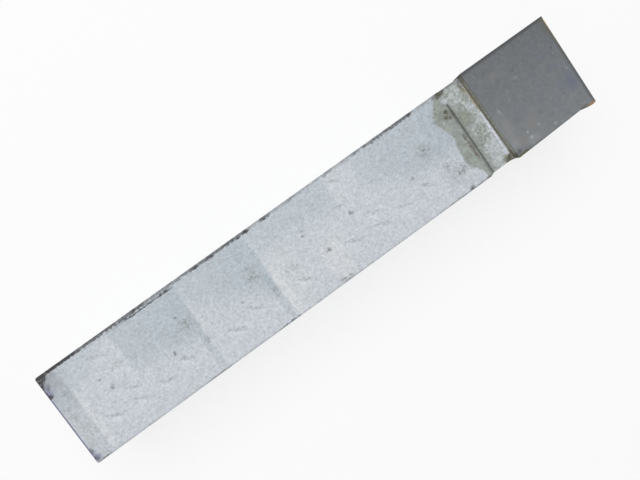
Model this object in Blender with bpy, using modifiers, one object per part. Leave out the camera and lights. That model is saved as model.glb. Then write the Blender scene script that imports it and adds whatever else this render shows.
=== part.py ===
"""Carbide-tipped tool bit: a square steel shank with a square carbide plate brazed into a seat at its nose.

Blender 4.5, metres, +Z up. +X runs along the shank towards the cutting edge and +Y is the left side, seen
from the back end. The origin is the middle of the base face. Run it with
blender --background --python part.py, or from the text editor.
"""

import math

import bmesh
import bpy
from mathutils import Matrix

# Shank: square bar, sawn to length
SHANK_WIDTH = 0.01905
SHANK_HEIGHT = 0.01905
SHANK_LENGTH = 0.1143
CORNER_RADIUS = 0.0004

# Carbide plate: nearly square in plan, its right side and its front ground out of square, all sides relieved
TIP_LENGTH = 0.0193
TIP_THICKNESS = 0.00476
TIP_DROP = 0.00035
TIP_OVERHANG_FRONT = 0.00135
TIP_OVERHANG_LEFT = 0.00034
TIP_OVERHANG_RIGHT = 0.00034
TIP_RIGHT_TAPER = math.radians(1.9)
TIP_FRONT_SKEW = math.radians(1.1)
TIP_SIDE_RELIEF = math.radians(3.0)
TIP_FRONT_RELIEF = math.radians(7.0)
TIP_EDGE_ROUND = 0.00008

# Seat: milled across the nose, its back wall a little out of square
SEAT_SKEW = math.radians(1.4)
SEAT_CORNER_RADIUS = 0.0005

# Nose: the part of the bar that is ground back under and behind the plate
NECK_LENGTH = 0.0049
NECK_INSET_LEFT = 0.00005
NECK_INSET_RIGHT = 0.00034
NOSE_RUN_OUT = math.radians(30.0)
NOSE_SIDE_RELIEF = math.radians(4.0)
NOSE_FRONT_RELIEF = math.radians(10.0)

# Neck top: ground low towards the right, with a narrow groove at its root and a lip left along the seat wall
NECK_CUT = 0.00003
NECK_FALL = 0.00028
GROOVE_DEPTH = 0.00026
GROOVE_WIDTH = 0.00036
GROOVE_END_FROM_LEFT = 0.0029
LIP_WIDTH = 0.00045
LIP_SLOPE = 0.0003

# Braze: bed under the plate, filled gap behind it, fillet under its overhang, and drops on the right side: one
# behind the plate, one under its front corner, and one near that corner's top that a thin run ties to it
BRAZE_BED = 0.0002
BRAZE_BACK = 0.0004
BRAZE_BACK_SINK = 0.00012
BRAZE_BACK_HOLLOW = 0.0002
BRAZE_BACK_INSET = 0.0002
BRAZE_FILLET_DROP = 0.0009
BRAZE_FILLET_FOOT = 0.00005
BRAZE_FILLET_INSET = 0.00012
REAR_DROP_SIZE = (0.0034, 0.0022, 0.0044)
FRONT_DROP_SIZE = (0.0034, 0.0022, 0.0034)
REAR_DROP_INSET = 0.0001
REAR_DROP_FORWARD = 0.0003
FRONT_DROP_PROUD = 0.00035
FRONT_DROP_SETBACK = 0.0003
TOP_DROP_SIZE = (0.0034, 0.0011, 0.0014)
TOP_DROP_PROUD = 0.00054
TOP_DROP_SINK = 0.00002
TOP_DROP_TURN = math.radians(-8.0)
RUN_SIZE = (0.0018, 0.0009, 0.0042)
RUN_PROUD = 0.00058
RUN_SINK = 0.0006
JOINT_GAP = 0.0003

# Mesh fineness
CORNER_STEPS = 3
SEAT_CORNER_STEPS = 4
MENISCUS_STEPS = 6
DROP_SEGMENTS = 20
DROP_RINGS = 12
SMOOTH_ANGLE = math.radians(35)
CUTTER_MARGIN = 0.002
WELD = 1e-6

# Places worked out from the sizes, on the tool's middle line
BACK_X = -(SHANK_LENGTH + TIP_OVERHANG_FRONT) / 2
STEEL_FRONT_X = BACK_X + SHANK_LENGTH
TIP_FRONT_X = STEEL_FRONT_X + TIP_OVERHANG_FRONT
TIP_BACK_X = TIP_FRONT_X - TIP_LENGTH
WALL_X = TIP_BACK_X - BRAZE_BACK - 2 * JOINT_GAP
NOSE_X = WALL_X - NECK_LENGTH
LEFT_Y = SHANK_WIDTH / 2
RIGHT_Y = -SHANK_WIDTH / 2
TOP_Z = SHANK_HEIGHT
TIP_TOP_Z = TOP_Z - TIP_DROP
TIP_BASE_Z = TIP_TOP_Z - TIP_THICKNESS
SEAT_Z = TIP_BASE_Z - BRAZE_BED - 2 * JOINT_GAP


def clear_scene():
    """Removes what the scene holds and makes the two collections."""
    for obj in list(bpy.data.objects):
        bpy.data.objects.remove(obj, do_unlink=True)
    made = []
    for name in ("carbide_tipped_tool_bit", "cutters"):
        collection = bpy.data.collections.new(name)
        bpy.context.scene.collection.children.link(collection)
        made.append(collection)
    return made


def material(name, colour, roughness, metallic):
    """A Principled material of one colour, given as linear red, green and blue."""
    made = bpy.data.materials.new(name)
    made.use_nodes = True
    shader = made.node_tree.nodes["Principled BSDF"]
    shader.inputs["Base Color"].default_value = (*colour, 1.0)
    shader.inputs["Roughness"].default_value = roughness
    shader.inputs["Metallic"].default_value = metallic
    made.diffuse_color = (*colour, 1.0)
    return made


def move_to(obj, collection):
    """Puts an object in one collection only."""
    for old in list(obj.users_collection):
        old.objects.unlink(obj)
    collection.objects.link(obj)


def as_cutter(obj, cutters):
    """Marks an object as a helper that the model doesn't show."""
    move_to(obj, cutters)
    obj.hide_render = True
    obj.display_type = "WIRE"
    return obj


def boolean(obj, other, operation):
    """Cuts other from obj, or joins it to obj."""
    modifier = obj.modifiers.new(f"{operation.lower()} {other.name}", "BOOLEAN")
    modifier.operation = operation
    modifier.solver = "EXACT"
    modifier.object = other


def shade_smooth(mesh):
    """Smooth shading that keeps the real corners sharp."""
    mesh.shade_smooth()
    mesh.set_sharp_from_angle(angle=SMOOTH_ANGLE)


def block(name, place, cuts=()):
    """A cube primitive whose corners are moved by place(along, left, upper).

    along is 0 at the cube's back and 1 at its front; cuts are the values between at which it has more corners.
    """
    bpy.ops.mesh.primitive_cube_add(size=2)
    obj = bpy.context.object
    obj.name = name
    cage = bmesh.new()
    cage.from_mesh(obj.data)
    for cut in cuts:
        everything = cage.verts[:] + cage.edges[:] + cage.faces[:]
        bmesh.ops.bisect_plane(cage, geom=everything, plane_co=(2 * cut - 1, 0, 0), plane_no=(1, 0, 0))
    for vertex in cage.verts:
        x, y, z = vertex.co
        vertex.co = place((x + 1) / 2, y > 0, z > 0)
    cage.to_mesh(obj.data)
    cage.free()
    return obj


def turned(angle, x, y, z, axis, matrix):
    """A placement matrix turned by angle about the given axis through a point."""
    point = Matrix.Translation((x, y, z))
    return point @ Matrix.Rotation(angle, 4, axis) @ point.inverted() @ matrix


def profile_solid(name, outline, y_low, y_high):
    """A side-view outline of (x, z) points, extruded across the tool from y_low to y_high."""
    curve = bpy.data.curves.new(name, "CURVE")
    curve.dimensions = "2D"
    curve.fill_mode = "BOTH"
    curve.extrude = (y_high - y_low) / 2
    spline = curve.splines.new("POLY")
    spline.points.add(len(outline) - 1)
    for point, (x, z) in zip(spline.points, outline):
        point.co = (x, z, 0, 1)
    spline.use_cyclic_u = True
    drawn = bpy.data.objects.new(name + "_outline", curve)
    bpy.context.scene.collection.objects.link(drawn)
    middle = Matrix.Translation((0, (y_low + y_high) / 2, 0))
    drawn.matrix_world = middle @ Matrix.Rotation(math.pi / 2, 4, "X")
    bpy.context.view_layer.update()
    graph = bpy.context.evaluated_depsgraph_get()
    mesh = bpy.data.meshes.new_from_object(drawn.evaluated_get(graph))
    cage = bmesh.new()
    cage.from_mesh(mesh)
    bmesh.ops.remove_doubles(cage, verts=cage.verts, dist=WELD)
    bmesh.ops.recalc_face_normals(cage, faces=cage.faces)
    cage.to_mesh(mesh)
    cage.free()
    solid = bpy.data.objects.new(name, mesh)
    bpy.context.scene.collection.objects.link(solid)
    solid.matrix_world = drawn.matrix_world
    bpy.data.objects.remove(drawn, do_unlink=True)
    return solid


def arc(centre, radius, start, end, steps):
    """Points on an arc in the side view, from the start angle to the end angle, in radians."""
    angles = [start + (end - start) * i / steps for i in range(steps + 1)]
    return [(centre[0] + radius * math.cos(a), centre[1] + radius * math.sin(a)) for a in angles]


def right_taper(x):
    """How far the plate's right side, and the steel under it, has run in at x."""
    return max(0.0, x - WALL_X) * math.tan(TIP_RIGHT_TAPER)


def meeting(x, y, left, skew):
    """Where a side that passes y at x meets an end that passes x on the middle line and is skewed."""
    run_in = 0 if left else math.tan(TIP_RIGHT_TAPER)
    step = y * math.tan(skew) / (1 - run_in * math.tan(skew))
    return x + step, y + run_in * step


def nose_side_y(left, x, z, grow=0):
    """Where the relieved side of the nose lies, moved out by grow."""
    lean = (TOP_Z - z) * math.tan(NOSE_SIDE_RELIEF)
    if left:
        return LEFT_Y - NECK_INSET_LEFT - lean + grow
    return RIGHT_Y + NECK_INSET_RIGHT + lean + right_taper(x) - grow


def nose_front_corner(left, z, grow):
    """Where the relieved side and front of the nose meet, moved out by grow."""
    x = STEEL_FRONT_X - (SEAT_Z - z) * math.tan(NOSE_FRONT_RELIEF) + grow
    return meeting(x, nose_side_y(left, x, z, grow), left, TIP_FRONT_SKEW)


def nose_envelope(name, grow):
    """The block that the ground nose fits in, grown on all sides, and flared behind it past the bar's sides."""
    back, shoulder, wall = 0, 0.25, 0.5

    def place(along, left, upper):
        z = TOP_Z + CUTTER_MARGIN if upper else -CUTTER_MARGIN
        if along == back:
            x = nose_start_x()
            return x, nose_side_y(left, x, z, grow + flare_width()), z
        if along == shoulder:
            return NOSE_X, nose_side_y(left, NOSE_X, z, grow), z
        if along == wall:
            return WALL_X, nose_side_y(left, WALL_X, z, grow), z
        return *nose_front_corner(left, z, grow), z

    return block(name, place, cuts=(shoulder, wall))


def flare_width():
    """How far the flare has to open so that it clears the bar at every height."""
    return CUTTER_MARGIN + NECK_INSET_RIGHT + NECK_INSET_LEFT + SHANK_HEIGHT * math.tan(NOSE_SIDE_RELIEF)


def nose_start_x():
    """Where the flare behind the nose starts."""
    return NOSE_X - flare_width() / math.tan(NOSE_RUN_OUT)


def across_tool(name, outline):
    """A side-view outline as a solid that reaches past both sides, square to the seat's back wall."""
    reach = LEFT_Y + CUTTER_MARGIN
    solid = profile_solid(name, outline, -reach, reach)
    solid.matrix_world = turned(SEAT_SKEW, WALL_X, 0, 0, "Z", solid.matrix_world)
    return solid


def seat_outline(grow):
    """Side view of the space milled out for the plate and its braze; grow moves the steel's faces into it."""
    wall, floor = WALL_X + grow, SEAT_Z + grow
    radius = SEAT_CORNER_RADIUS - grow
    far_x, far_z = TIP_FRONT_X + CUTTER_MARGIN, TOP_Z + CUTTER_MARGIN
    corner = arc((wall + radius, floor + radius), radius, math.pi, 1.5 * math.pi, SEAT_CORNER_STEPS)
    return [(wall, far_z), *corner, (far_x, floor), (far_x, far_z)]


def tip_side_y(left, x, z, grow=0):
    """Where the relieved side of the plate lies, moved out by grow."""
    lean = (TIP_TOP_Z - z) * math.tan(TIP_SIDE_RELIEF)
    if left:
        return LEFT_Y + TIP_OVERHANG_LEFT - lean + grow
    return RIGHT_Y - TIP_OVERHANG_RIGHT + lean + right_taper(x) - grow


def tip_corner(front, left, z, grow=0):
    """A corner of the plate at height z, moved out by grow on both of its sides."""
    if front:
        x = TIP_FRONT_X - (TIP_TOP_Z - z) * math.tan(TIP_FRONT_RELIEF) + grow
        return meeting(x, tip_side_y(left, x, z, grow), left, TIP_FRONT_SKEW)
    x = TIP_BACK_X - grow
    return meeting(x, tip_side_y(left, x, z, grow), left, -SEAT_SKEW)


def tip_block(name, grow):
    """The carbide plate, or with grow above 0 the space that it needs."""
    def place(along, left, upper):
        z = TIP_TOP_Z + grow if upper else TIP_BASE_Z - grow
        return *tip_corner(along == 1, left, z, grow), z

    return block(name, place)


def make_shank(parts, cutters):
    """The bar, with its nose relieved, the seat milled across it and the neck's top ground low."""
    shank = block("shank", lambda along, left, upper: (
        STEEL_FRONT_X + CUTTER_MARGIN if along else BACK_X,
        LEFT_Y if left else RIGHT_Y,
        TOP_Z if upper else 0,
    ))
    move_to(shank, parts)
    round_bar_edges(shank)

    waste = block("nose_waste", lambda along, left, upper: (
        STEEL_FRONT_X + 2 * CUTTER_MARGIN if along else nose_start_x(),
        LEFT_Y + CUTTER_MARGIN if left else RIGHT_Y - CUTTER_MARGIN,
        TOP_Z + CUTTER_MARGIN / 2 if upper else -CUTTER_MARGIN / 2,
    ))
    boolean(waste, as_cutter(nose_envelope("nose_kept", 0), cutters), "DIFFERENCE")
    boolean(shank, as_cutter(waste, cutters), "DIFFERENCE")
    boolean(shank, as_cutter(across_tool("seat_cutter", seat_outline(0)), cutters), "DIFFERENCE")
    boolean(shank, as_cutter(neck_cutter(), cutters), "DIFFERENCE")
    shade_smooth(shank.data)
    return shank


def round_bar_edges(bar):
    """Rounds the bar's four long edges and the four edges of its back end."""
    weights = bar.data.attributes.new("bevel_weight_edge", "FLOAT", "EDGE")
    for edge, weight in zip(bar.data.edges, weights.data):
        first, second = (bar.data.vertices[i].co for i in edge.vertices)
        weight.value = 1.0 if min(first.x, second.x) < 0 else 0.0
    bevel = bar.modifiers.new("edge round", "BEVEL")
    bevel.limit_method = "WEIGHT"
    bevel.width = CORNER_RADIUS
    bevel.segments = CORNER_STEPS


def neck_cutter():
    """Grinds the neck's top low towards the right, with the groove at its root and the lip left at the wall."""
    top = CUTTER_MARGIN
    lip = WALL_X - LIP_WIDTH
    outline = [
        (NOSE_X, top),
        (NOSE_X + GROOVE_WIDTH / 3, -GROOVE_DEPTH),
        (NOSE_X + GROOVE_WIDTH, 0),
        (lip - LIP_SLOPE, 0),
        (lip, NECK_FALL),
        (lip, top),
    ]
    reach = SHANK_WIDTH - GROOVE_END_FROM_LEFT
    cutter = profile_solid("neck_cutter", outline, -reach - CUTTER_MARGIN, 0)
    hinge = Matrix.Translation((0, LEFT_Y - GROOVE_END_FROM_LEFT, TOP_Z - NECK_CUT))
    tilt = Matrix.Rotation(math.atan(NECK_FALL / reach), 4, "X")
    cutter.matrix_world = hinge @ tilt @ cutter.matrix_world
    return cutter


def make_carbide_tip(parts):
    """The carbide plate, with its edges just broken."""
    tip = tip_block("carbide_tip", 0)
    move_to(tip, parts)
    bevel = tip.modifiers.new("broken edge", "BEVEL")
    bevel.width = TIP_EDGE_ROUND
    bevel.segments = 2
    shade_smooth(tip.data)
    return tip


def braze_bed():
    """The bed under the plate with the fillet that hangs round the nose, before the steel is cut from it."""
    low = SEAT_Z - BRAZE_FILLET_DROP
    foot = JOINT_GAP + BRAZE_FILLET_FOOT

    def place(along, left, upper):
        if upper:
            x, y = tip_corner(along == 1, left, TIP_BASE_Z, -BRAZE_FILLET_INSET)
            return x if along else x - BRAZE_BACK, y, TIP_BASE_Z
        if along:
            return *nose_front_corner(left, low, foot), low
        x = WALL_X + JOINT_GAP
        return *meeting(x, nose_side_y(left, x, low, foot), left, -SEAT_SKEW), low

    bed = block("braze_joint", place)
    bed.modifiers.new("flat faces", "TRIANGULATE")
    return bed


def back_braze_outline():
    """Side view of the braze in the gap behind the plate, with its hollow top."""
    wall, plate = WALL_X, TIP_BACK_X
    high = TIP_TOP_Z - BRAZE_BACK_SINK
    steps = [i / MENISCUS_STEPS for i in range(MENISCUS_STEPS + 1)]
    top = [(plate + (wall - plate) * s, high - BRAZE_BACK_HOLLOW * math.sin(math.pi * s)) for s in steps]
    return [(wall, SEAT_Z), (plate, SEAT_Z), *top]


def back_braze():
    """The braze between the seat's wall and the plate, ending a little inside the nose's sides."""
    right = nose_side_y(False, WALL_X, TOP_Z, -BRAZE_BACK_INSET)
    left = nose_side_y(True, WALL_X, TOP_Z, -BRAZE_BACK_INSET)
    solid = profile_solid("back_braze", back_braze_outline(), right, left)
    solid.matrix_world = turned(SEAT_SKEW, WALL_X, 0, 0, "Z", solid.matrix_world)
    return solid


def drop(name, size, x, y, z, turn=0.0):
    """A rounded drop of braze, centred on a point and turned about the vertical."""
    bpy.ops.mesh.primitive_uv_sphere_add(segments=DROP_SEGMENTS, ring_count=DROP_RINGS, radius=0.5)
    obj = bpy.context.object
    obj.name = name
    shape = Matrix.Rotation(turn, 4, "Z") @ Matrix.Diagonal((*size, 1))
    obj.data.transform(Matrix.Translation((x, y, z)) @ shape)
    return obj


def right_side_drops():
    """The drops at the plate's back corner, under its front corner and near that corner's top, and the run."""
    rear_corner, rear_edge = tip_corner(False, False, TIP_TOP_Z)
    rear_x = rear_corner + REAR_DROP_FORWARD
    front_x = TIP_FRONT_X - FRONT_DROP_SETBACK - FRONT_DROP_SIZE[0] / 2
    top_x = TIP_FRONT_X - TOP_DROP_SIZE[0] / 2
    rear_y = rear_edge + REAR_DROP_INSET + REAR_DROP_SIZE[1] / 2
    front_y = tip_side_y(False, front_x, TIP_TOP_Z) - FRONT_DROP_PROUD + FRONT_DROP_SIZE[1] / 2
    top_edge = tip_side_y(False, top_x, TIP_TOP_Z)
    top_y = top_edge - TOP_DROP_PROUD + TOP_DROP_SIZE[1] / 2
    run_y = top_edge - RUN_PROUD + RUN_SIZE[1] / 2
    rear_z = TIP_TOP_Z - REAR_DROP_SIZE[2] / 2
    top_z = TIP_TOP_Z - TOP_DROP_SINK - TOP_DROP_SIZE[2] / 2
    run_z = TIP_TOP_Z - RUN_SINK - RUN_SIZE[2] / 2
    return (
        drop("rear_drop", REAR_DROP_SIZE, rear_x, rear_y, rear_z),
        drop("front_drop", FRONT_DROP_SIZE, front_x, front_y, TIP_BASE_Z),
        drop("top_drop", TOP_DROP_SIZE, top_x, top_y, top_z, TOP_DROP_TURN),
        drop("run", RUN_SIZE, top_x, run_y, run_z),
    )


def make_braze(parts, cutters):
    """All of the braze as one body, kept JOINT_GAP away from the plate and the steel."""
    braze = braze_bed()
    move_to(braze, parts)
    for piece in (back_braze(), *right_side_drops()):
        boolean(braze, as_cutter(piece, cutters), "UNION")

    steel = nose_envelope("steel_space", JOINT_GAP)
    seat = across_tool("seat_space", seat_outline(JOINT_GAP))
    boolean(steel, as_cutter(seat, cutters), "DIFFERENCE")
    boolean(braze, as_cutter(steel, cutters), "DIFFERENCE")
    boolean(braze, as_cutter(tip_block("tip_space", JOINT_GAP), cutters), "DIFFERENCE")
    shade_smooth(braze.data)
    return braze


def main():
    parts, cutters = clear_scene()
    silver_steel = material("silver_painted_steel", (0.55, 0.60, 0.65), 0.55, 0.3)
    carbide = material("sintered_carbide", (0.16, 0.17, 0.19), 0.5, 0.6)
    braze_alloy = material("braze_alloy", (0.31, 0.16, 0.05), 0.45, 0.8)
    make_shank(parts, cutters).data.materials.append(silver_steel)
    make_carbide_tip(parts).data.materials.append(carbide)
    make_braze(parts, cutters).data.materials.append(braze_alloy)


main()
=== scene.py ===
"""Looks of the carbide-tipped tool bit: worn silver paint, a carbide plate, braze, and a pale studio."""

import math

import bmesh
import bpy
from mathutils import Matrix, Vector, noise
from mathutils.bvhtree import BVHTree


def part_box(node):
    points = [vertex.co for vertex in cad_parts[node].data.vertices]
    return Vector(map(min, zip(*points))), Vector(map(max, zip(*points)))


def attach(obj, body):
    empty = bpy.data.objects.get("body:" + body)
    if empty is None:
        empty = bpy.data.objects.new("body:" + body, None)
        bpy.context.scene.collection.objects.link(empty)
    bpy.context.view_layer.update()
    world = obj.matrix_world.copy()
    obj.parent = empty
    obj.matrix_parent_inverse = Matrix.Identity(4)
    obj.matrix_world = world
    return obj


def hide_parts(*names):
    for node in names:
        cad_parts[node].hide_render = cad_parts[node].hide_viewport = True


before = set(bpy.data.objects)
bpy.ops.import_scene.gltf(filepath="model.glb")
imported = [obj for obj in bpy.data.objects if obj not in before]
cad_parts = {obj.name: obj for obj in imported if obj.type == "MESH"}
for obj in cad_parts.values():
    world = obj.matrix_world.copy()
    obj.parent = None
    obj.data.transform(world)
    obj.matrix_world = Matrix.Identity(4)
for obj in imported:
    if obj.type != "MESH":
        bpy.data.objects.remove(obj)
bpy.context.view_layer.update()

bl_info = {
    "name": "Carbide-tipped tool bit looks",
    "version": (1, 0, 0),
    "blender": (4, 5, 0),
    "location": "View3D > Sidebar > Tool Bit",
    "description": "Finishes the packed tool bit with worn paint, carbide and braze, in a pale studio",
    "category": "Object",
}

MM = 0.001

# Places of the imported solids, and how far the plate's front is turned out of square
SHANK_LOW, SHANK_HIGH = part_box("shank")
PLATE_LOW, PLATE_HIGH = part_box("carbide_tip")
BACK_X = SHANK_LOW[0]
NOSE_X = SHANK_HIGH[0]
SIDE_Y = SHANK_HIGH[1]
TOP_Z = SHANK_HIGH[2]
PLATE_TOP_Z = PLATE_HIGH[2]
PLATE_BASE_Z = PLATE_LOW[2]
PLATE_FRONT_SKEW = 1.1
FRONT_SLOPE = math.tan(math.radians(PLATE_FRONT_SKEW))
PLATE_FRONT_X = PLATE_HIGH[0] - PLATE_HIGH[1] * FRONT_SLOPE

# The shank's length and width in millimetres
LENGTH = (NOSE_X - BACK_X) / MM
WIDTH = 2 * SIDE_Y / MM

# Numbers of the colour sockets on Blender's Mix node
MIX_FIRST, MIX_SECOND, MIX_RESULT = 6, 7, 2


def linear(red, green, blue):
    """A colour written as 0 to 255 on the screen, as Blender's linear red, green and blue."""
    parts = [value / 255 for value in (red, green, blue)]
    return tuple(p / 12.92 if p <= 0.04045 else ((p + 0.055) / 1.055) ** 2.4 for p in parts)


def on_tool(along, left, height=0.0):
    """A point given in millimetres from the back end, left of the middle and above the shank's top."""
    return Vector((BACK_X + along * MM, left * MM, TOP_Z + height * MM))


class Shading:
    """One procedural material, and short ways to add its nodes."""

    def __init__(self, name):
        self.material = bpy.data.materials.new(name)
        self.material.use_nodes = True
        self.tree = self.material.node_tree
        self.shader = self.tree.nodes["Principled BSDF"]
        self.place = self.node("ShaderNodeTexCoord").outputs["Object"]

    def put(self, socket, value):
        """Links a socket's value, or sets it as a number."""
        if isinstance(value, bpy.types.NodeSocket):
            self.tree.links.new(value, socket)
        else:
            socket.default_value = value

    def node(self, kind, inputs=None, **settings):
        """Adds a node with its settings and inputs."""
        made = self.tree.nodes.new(kind)
        for name, value in settings.items():
            setattr(made, name, value)
        for key, value in (inputs or {}).items():
            self.put(made.inputs[key], value)
        return made

    def math(self, operation, first, second=0.0, third=0.0, clamp=False):
        """One step of arithmetic."""
        inputs = {0: first, 1: second, 2: third}
        return self.node("ShaderNodeMath", inputs, operation=operation, use_clamp=clamp).outputs[0]

    def times(self, first, second):
        """One value multiplied by another."""
        return self.math("MULTIPLY", first, second)

    def plus(self, first, second):
        """The sum of two values."""
        return self.math("ADD", first, second)

    def minus(self, first, second):
        """The first value less the second."""
        return self.math("SUBTRACT", first, second)

    def total(self, values):
        """The sum of several masks, at most 1."""
        result = values[0]
        for value in values[1:]:
            result = self.math("ADD", result, value, clamp=True)
        return result

    def fade(self, value, start, end, low=0.0, high=1.0):
        """Turns a value that goes from start to end into a smooth change from low to high."""
        inputs = {"Value": value, "From Min": start, "From Max": end, "To Min": low, "To Max": high}
        return self.node("ShaderNodeMapRange", inputs, interpolation_type="SMOOTHSTEP").outputs["Result"]

    def noise_texture(self, size, detail, place, distortion):
        """A noise texture whose spots have the given size."""
        inputs = {"Vector": place, "Scale": 1 / size, "Detail": detail, "Distortion": distortion}
        return self.node("ShaderNodeTexNoise", inputs)

    def grain(self, size, detail=2.0, place=None, distortion=0.0):
        """Soft random spots of the given size, from about 0.3 to 0.7 and on average a half."""
        return self.noise_texture(size, detail, place or self.place, distortion).outputs["Fac"]

    def streaks(self, sizes, detail, turn=0.0):
        """Grain drawn out to its own size along x, y and z, and turned about x."""
        inputs = {"Vector": self.place, "Rotation": (turn, 0, 0), "Scale": sizes}
        drawn = self.node("ShaderNodeMapping", inputs, vector_type="TEXTURE").outputs[0]
        return self.grain(1.0, detail, drawn)

    def pushed(self, size, reach):
        """The object's coordinates pushed about at random, for uneven edges."""
        colour = self.noise_texture(size, detail=2.0, place=self.place, distortion=0.0).outputs["Color"]
        middle = (0.5, 0.5, 0.5)
        change = self.node("ShaderNodeVectorMath", {0: colour, 1: middle}, operation="SUBTRACT").outputs[0]
        push = self.brighten(change, reach)
        return self.node("ShaderNodeVectorMath", {0: self.place, 1: push}, operation="ADD").outputs[0]

    def oval(self, place, centre, half_sizes, turn, strength, core):
        """A soft oval mask, full over its core, with half sizes in millimetres and a turn in degrees."""
        inputs = {
            "Vector": place,
            "Location": centre,
            "Rotation": (0, 0, math.radians(turn)),
            "Scale": [size * MM for size in half_sizes],
        }
        where = self.node("ShaderNodeMapping", inputs, vector_type="TEXTURE").outputs[0]
        ball = self.node("ShaderNodeTexGradient", {0: where}, gradient_type="SPHERICAL").outputs["Fac"]
        return self.fade(ball, 0.0, 1.0 - core, 0.0, strength)

    def mix(self, factor, first, second):
        """Blends two colours."""
        made = self.node("ShaderNodeMix", {0: factor}, data_type="RGBA")
        for key, colour in ((MIX_FIRST, first), (MIX_SECOND, second)):
            if not isinstance(colour, bpy.types.NodeSocket):
                colour = (*colour, 1.0)
            self.put(made.inputs[key], colour)
        return made.outputs[MIX_RESULT]

    def brighten(self, colour, factor):
        """Multiplies a colour or a vector by a number."""
        return self.node("ShaderNodeVectorMath", {0: colour, "Scale": factor}, operation="SCALE").outputs[0]

    def axes(self, place=None):
        """The x, y and z of a place."""
        return self.node("ShaderNodeSeparateXYZ", {0: place or self.place}).outputs

    def span(self, value, start, end):
        """Turns a value that goes from start to end into a straight change from 0 to 1."""
        inputs = {"Value": value, "From Min": start, "From Max": end}
        return self.node("ShaderNodeMapRange", inputs).outputs["Result"]

    def bump(self, height, distance):
        """Surface relief from a height between 0 and 1, whose full depth is distance."""
        inputs = {"Height": height, "Distance": distance, "Strength": 1.0}
        self.put(self.shader.inputs["Normal"], self.node("ShaderNodeBump", inputs).outputs[0])

    def finish(self, colour, roughness, metallic):
        """Joins the colour, roughness and metallic values to the shader."""
        self.put(self.shader.inputs["Base Color"], colour)
        self.put(self.shader.inputs["Roughness"], roughness)
        self.put(self.shader.inputs["Metallic"], metallic)
        return self.material


# Marks, placed as the photograph shows the wear; a few of them are painted light and shade, as noted where
# they stand. Each row has its place in millimetres from the back end and left of the middle, its half sizes
# in millimetres, its turn in degrees and its strength.

# On the shank's top: smudges, specks, and the places of slanting ripples
SMUDGES = (
    (27.5, 1.6, 2.0, 1.6, 20, 0.62),
    (42.2, 1.6, 2.0, 1.5, 30, 0.62),
    (81.9, 2.1, 2.1, 1.7, 25, 0.66),
    (28.9, -3.2, 1.3, 0.9, 0, 0.50),
    (44.1, -3.1, 1.0, 1.3, 0, 0.55),
    (85.6, -5.3, 2.0, 1.6, 0, 0.70),
    (83.8, -3.0, 1.1, 1.2, 0, 0.45),
    (86.9, 5.3, 0.7, 1.1, 0, 0.45),
    (48.6, -1.2, 2.0, 0.9, -25, 0.40),
    (2.6, 4.2, 0.9, 0.7, 0, 0.50),
    (2.2, -4.0, 1.5, 2.6, 0, 0.10),
    (1.6, 0.5, 1.6, 3.0, 0, 0.22),
    (1.2, 7.3, 1.0, 1.2, 0, 0.60),
    (1.4, 8.8, 2.6, 1.0, 0, 0.50),
    (13.0, 3.0, 2.0, 1.0, 0, 0.32),
    (87.0, -5.0, 1.3, 2.0, 0, 0.30),
    (88.2, 8.2, 0.9, 0.8, 0, 0.40),
)
SPECKS = (
    (9.2, 2.5, 0.56, 0.46, 0, 0.55),
    (10.1, 0.2, 0.95, 0.62, 25, 0.75),
    (11.9, 3.1, 0.30, 0.26, 0, 0.5),
    (14.0, 3.1, 0.30, 0.26, 0, 0.4),
    (22.6, -1.5, 0.42, 0.78, -15, 0.70),
    (26.4, 3.8, 0.42, 0.42, 0, 0.6),
    (37.9, -1.1, 0.50, 0.70, 0, 0.55),
    (54.0, 2.3, 0.42, 0.42, 0, 0.75),
    (54.3, 3.1, 0.55, 0.42, 0, 0.5),
    (50.0, -1.5, 0.46, 0.40, 0, 0.5),
    (56.5, -2.6, 1.0, 0.75, 0, 0.85),
    (63.8, 0.6, 0.85, 0.72, 0, 0.75),
    (62.9, 2.7, 0.60, 0.50, 0, 0.5),
    (77.1, -1.0, 0.60, 0.60, 0, 0.5),
    (85.6, -9.0, 1.0, 0.65, 0, 1.0),
    (55.7, -8.7, 1.30, 0.36, 0, 0.8),
    (57.2, -8.8, 0.80, 0.30, 0, 0.8),
    (56.6, -9.2, 1.60, 0.30, 0, 0.6),
    (59.2, -8.3, 0.32, 0.28, 0, 0.6),
    (41.8, 3.4, 0.70, 0.60, 0, 0.4),
)
# Ripples: small dents in the paint, each with a dark line of painted shade and a painted highlight below it,
# besides its bump
RIPPLES = (
    (10.9, 6.4),
    (13.3, -2.1),
    (7.3, -4.0),
    (13.4, -4.6),
    (18.7, -4.6),
    (23.8, -3.5),
    (34.0, -4.4),
    (39.4, -3.3),
    (49.6, -4.4),
    (61.1, -3.8),
    (67.4, -1.8),
    (67.4, -4.5),
    (73.0, -4.3),
    (78.8, -3.5),
    (64.5, 7.2),
)
RIPPLE_TURN = -24
RIPPLE_SIZE = (2.3, 0.46)
RIPPLE_HIGHLIGHT_SIZE = (2.0, 1.0)
RIPPLE_HIGHLIGHT_SHIFT = (-0.35, -0.7)
# How much the ripples' painted shade darkens the paint, and how much their painted highlights lighten it
RIPPLE_PAINTED_SHADE = 0.22
RIPPLE_PAINTED_HIGHLIGHT = 0.10

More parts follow.
